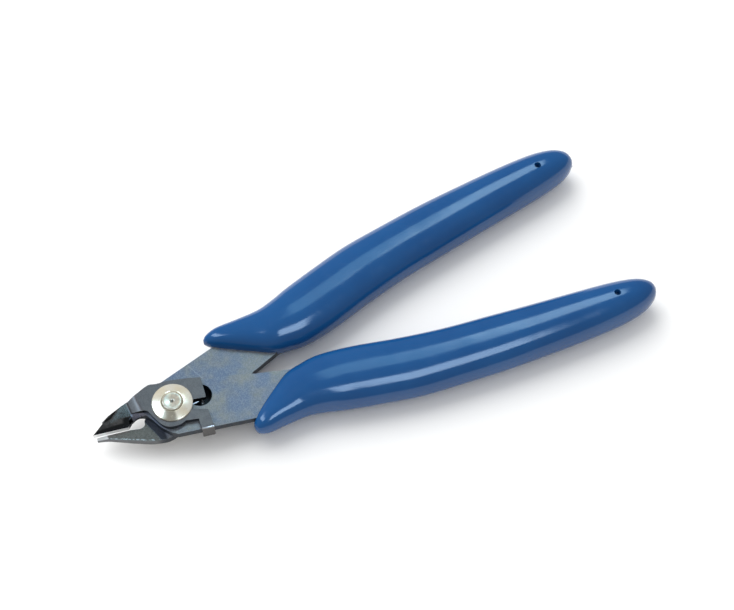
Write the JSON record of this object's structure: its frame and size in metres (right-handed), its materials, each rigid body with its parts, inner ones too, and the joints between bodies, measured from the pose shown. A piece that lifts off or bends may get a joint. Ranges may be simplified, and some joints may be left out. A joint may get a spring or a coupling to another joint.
{
  "type": "flush cutter",
  "caption": "Small flush cutter with crossed stamped halves on a rivet, bypassing angled jaws, a wire return spring under a cover, and moulded grips.",
  "frame": {"origin": "on the pivot axis, at the flat rear face of the pivot rivet", "axes": "+Z along the pivot axis towards the washer side, +X towards the ends of the handles, jaws towards -X, the front half's handle on the -Y side"},
  "size_m": [0.1274, 0.0478, 0.0102],
  "materials": {
    "blued_steel": "mottled blue-grey oxide, satin",
    "dark_steel": "dark grey oxide, satin",
    "nickel": "turned nickel plate",
    "spring_wire": "drawn wire",
    "blue_grip": "glossy soft vinyl"
  },
  "bodies": {
    "front_half": {"front_plate": "blued_steel", "cover_plate": "dark_steel", "pivot_rivet": "nickel", "rivet_washer": "nickel", "return_spring": "spring_wire", "front_grip": "blue_grip"},
    "back_half": {"back_plate": "blued_steel", "back_grip": "blue_grip"}
  },
  "joints": [
    {"name": "jaw_pivot", "type": "hinge", "parent": "front_half", "child": "back_half", "pos_m": [0, 0, 0.00304], "axis": [0, 0, 1], "range_deg": [-1.5, 12], "deforming": ["return_spring"]}
  ]
}
